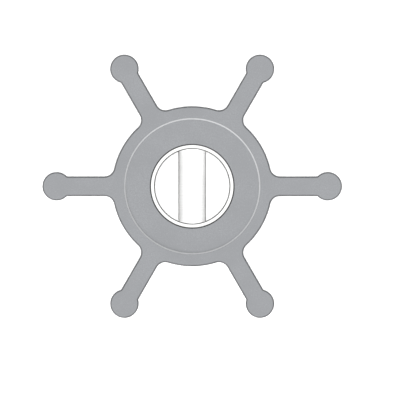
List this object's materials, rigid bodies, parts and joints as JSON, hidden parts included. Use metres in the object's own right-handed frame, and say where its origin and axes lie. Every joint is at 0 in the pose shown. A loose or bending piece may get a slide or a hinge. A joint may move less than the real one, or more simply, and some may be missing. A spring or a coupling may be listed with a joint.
{
  "type": "rubber pump impeller",
  "caption": "Flexible rubber pump impeller: radial vanes with round tips on a hub, moulded round a metal bush that a drive pin crosses.",
  "frame": {"origin": "on the bore axis, in the plane of the lower end face", "axes": "+Z along the bore axis, towards the upper end face; +X out along one vane; the drive pin lies along Y"},
  "size_m": [0.051, 0.0448, 0.022],
  "materials": {
    "rubber": "moulded grey rubber, satin",
    "bush_metal": "turned bright metal",
    "pin_steel": "ground bright steel"
  },
  "bodies": {
    "root": {"impeller_body": "rubber", "hub_insert": "bush_metal", "drive_pin": "pin_steel"}
  },
  "joints": []
}
